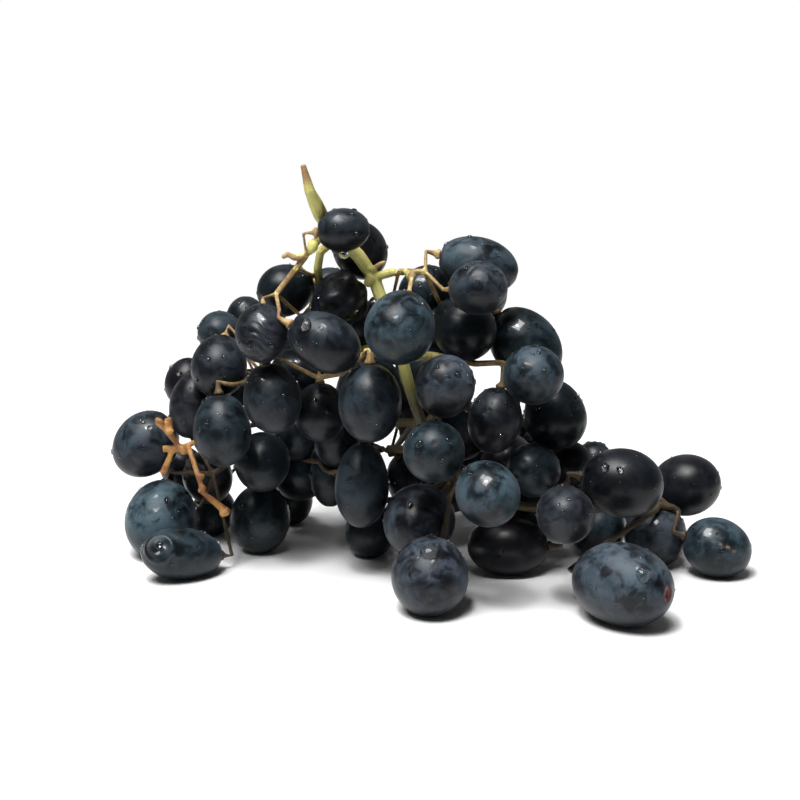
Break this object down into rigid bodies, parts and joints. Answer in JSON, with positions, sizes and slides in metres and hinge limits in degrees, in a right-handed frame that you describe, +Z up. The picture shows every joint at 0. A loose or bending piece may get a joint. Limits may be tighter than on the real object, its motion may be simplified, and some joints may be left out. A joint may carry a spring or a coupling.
{
  "type": "bunch of grapes",
  "caption": "Loose bunch of dark blue-black oval grapes lying on a table, heaped round a green branching stem with a cut end standing up, and a tail of berries running out to one side.",
  "frame": {"origin": "on the table, under the middle of the bunch's bounding box", "axes": "+X along the bunch, from its heaped side to the tail of berries; +Z up from the table; -Y faces the side that is seen in the picture"},
  "size_m": [0.1944, 0.1146, 0.1251],
  "materials": {
    "skin": "thin taut blue-black grape skin with a thin grey-blue waxy bloom, wet in places",
    "stem": "fresh yellow-green grape stem, browning at its cut end and on its thin side stalks"
  },
  "bodies": {
    "root": {"rachis": "stem", "spray_crown": "skin", "spray_right_top": "skin", "spray_right_shoulder": "skin", "spray_left_wing": "skin", "spray_left_foot": "skin", "spray_centre_left": "skin", "spray_centre_foot": "skin", "spray_front": "skin", "spray_tail": "skin", "spray_tail_end": "skin", "spray_back_top": "skin", "spray_back_left": "skin", "spray_back_middle": "skin", "spray_back_right": "skin", "spray_back_foot": "skin", "spray_back_tail": "skin"}
  },
  "joints": []
}
